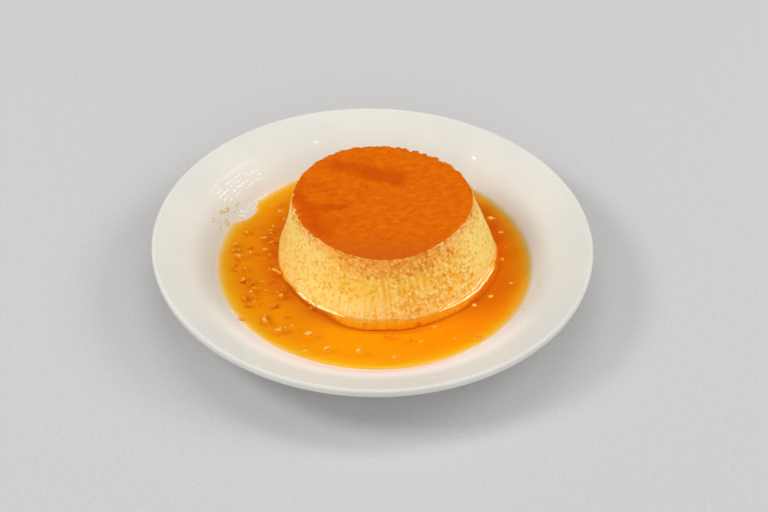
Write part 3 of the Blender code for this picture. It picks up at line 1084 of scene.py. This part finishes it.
studio = {
    "floorSize": 6.0, "floor": (0.62, 0.62, 0.63, 1), "floorWorn": (0.59, 0.59, 0.605, 1),
    # a window's slats: from which direction to which, and how bright
    "slats": (((12, 55), (33, 40), 22), ((18, 57), (37, 42), 22), ((25, 59), (41, 44), 22),
              ((32, 60), (45, 46), 20), ((40, 61), (50, 47), 10)),
    "slatWidth": 0.022,
    # soft lights: direction, elevation, width, height, radiance, distance
    "softLights": {
        "windowGlow": (14, 38, 0.9, 0.5, 3.8, 1.3), "leftSoftbox": (183, 42, 0.5, 0.34, 10.6, 1.3),
        "topGlow": (90, 64, 0.9, 0.4, 3.1, 1.3), "frontFill": (-85, 32, 1.8, 1.0, 1.2, 1.6),
    },
    # panes that only the pool reflects: from which direction to which, width and radiance
    "panes": {
        "windowPane": ((46, 26), (-10, 68), 0.40, 17.0), "leftPane": ((148, 38), (196, 70), 0.36, 20.0),
    },
    "glints": {"glintRight": (149, 66), "glintTop": (27, 76)},
    "glintSize": (0.06, 0.02), "glintRadiance": 45.0,
    "ambient": 0.48, "lightColour": (1, 0.985, 0.95),
    "sky": (1, 0.99, 0.97, 1), "skyBehind": (0.20, 0.20, 0.20, 1),
    "camera": {"lens": 100, "sensor": 36, "elevation": 40.34, "roll": 1.37, "distance": 895,
               "target": (4.76, 13.40, 0.5)},
}


def makeFloor():
    half = studio["floorSize"] / 2
    z = plateLow.z - 0.05 * mm
    corners = [(-half, -half, z), (half, -half, z), (half, half, z), (-half, half, z)]
    floor = newObject("floor", corners, [], [(0, 1, 2, 3)])
    material, shader, place = newMaterial("paleStone", {"Roughness": 0.6})
    speck = eased(noiseAt(place, 1.6 * mm, 5, 0.6), 0.35, 0.65)
    link(blendColour(speck, studio["floor"], studio["floorWorn"]), shader, "Base Color")
    floor.data.materials.append(material)


def aimedMatrix(place, target):
    return Matrix.Translation(place) @ (target - place).to_track_quat("-Z", "Y").to_matrix().to_4x4()


def lookingFrom(azimuth, elevation):
    a, e = math.radians(azimuth), math.radians(elevation)
    return Vector((math.cos(e) * math.cos(a), math.cos(e) * math.sin(a), math.sin(e)))


def addLight(name, azimuth, elevation, width, height, radiance, shows="soft", distance=1.3):
    # an area light in a direction from the flan: it serves the soft lighting or only the glints
    light = bpy.data.lights.new(name, "AREA")
    light.shape = "RECTANGLE"
    light.size, light.size_y = width, height
    light.energy = radiance * math.pi * width * height
    light.color = studio["lightColour"]
    lamp = bpy.data.objects.new(name, light)
    bpy.context.scene.collection.objects.link(lamp)
    lamp.matrix_world = aimedMatrix(lookingFrom(azimuth, elevation) * distance, Vector((0, 0, 20 * mm)))
    lamp.visible_glossy = shows == "glints"
    lamp.visible_diffuse = shows == "soft"
    lamp.visible_transmission = shows == "soft"
    return lamp


def addStrip(name, start, end, width, radiance, distance=1.3):
    # a strip for the glints, as long as from the start's direction to the end's
    first, last = lookingFrom(*start), lookingFrom(*end)
    middle, along = (first + last).normalized(), (last - first).normalized()
    turn = Matrix((along, middle.cross(along), middle)).transposed().to_4x4()
    lamp = addLight(name, 0, 45, (last - first).length * distance, width, radiance, "glints")
    lamp.matrix_world = Matrix.Translation(middle * distance) @ turn
    return lamp


def makeLights():
    for name, (azimuth, elevation, width, height, radiance, distance) in studio["softLights"].items():
        addLight(name, azimuth, elevation, width, height, radiance, distance=distance)
    wet = bpy.data.collections.new("wetPieces")
    wet.objects.link(bpy.data.objects["caramel_pool"])
    for name, pane in studio["panes"].items():
        addStrip(name, *pane).light_linking.receiver_collection = wet
    for k, (start, end, radiance) in enumerate(studio["slats"]):
        addStrip(f"windowSlat{k}", start, end, studio["slatWidth"], radiance)
    for name, direction in studio["glints"].items():
        addLight(name, *direction, *studio["glintSize"], studio["glintRadiance"], "glints")
    world = bpy.data.worlds.new("studio")
    bpy.context.scene.world = world
    world.use_nodes = True
    background = takeTree(world.node_tree).nodes["Background"]
    # the room is darker behind the dish
    x, y, z = splitPlace(addNode("ShaderNodeTexCoord").outputs["Generated"])
    sky = blendColour(eased(y, 0.1, 0.7), studio["sky"], studio["skyBehind"])
    link(sky, background, "Color")
    background.inputs["Strength"].default_value = studio["ambient"]


def makeCamera():
    c = studio["camera"]
    e, roll = math.radians(c["elevation"]), math.radians(c["roll"])
    forward = Vector((0, math.cos(e), -math.sin(e)))
    right = Vector((math.cos(roll), math.sin(roll) * math.sin(e), math.sin(roll) * math.cos(e)))
    up = right.cross(forward)
    data = bpy.data.cameras.new("camera")
    data.lens, data.sensor_width = c["lens"], c["sensor"]
    data.clip_start, data.clip_end = 0.05, 20
    camera = bpy.data.objects.new("camera", data)
    bpy.context.scene.collection.objects.link(camera)
    place = (Vector(c["target"]) - forward * c["distance"]) * mm
    turn = Matrix((right, up, -forward)).transposed().to_4x4()
    camera.matrix_world = Matrix.Translation(place) @ turn
    bpy.context.scene.camera = camera


makeFloor()
makeLights()
makeCamera()
bpy.context.scene.view_settings.view_transform = "Standard"
print("floor, lights and camera are in place")
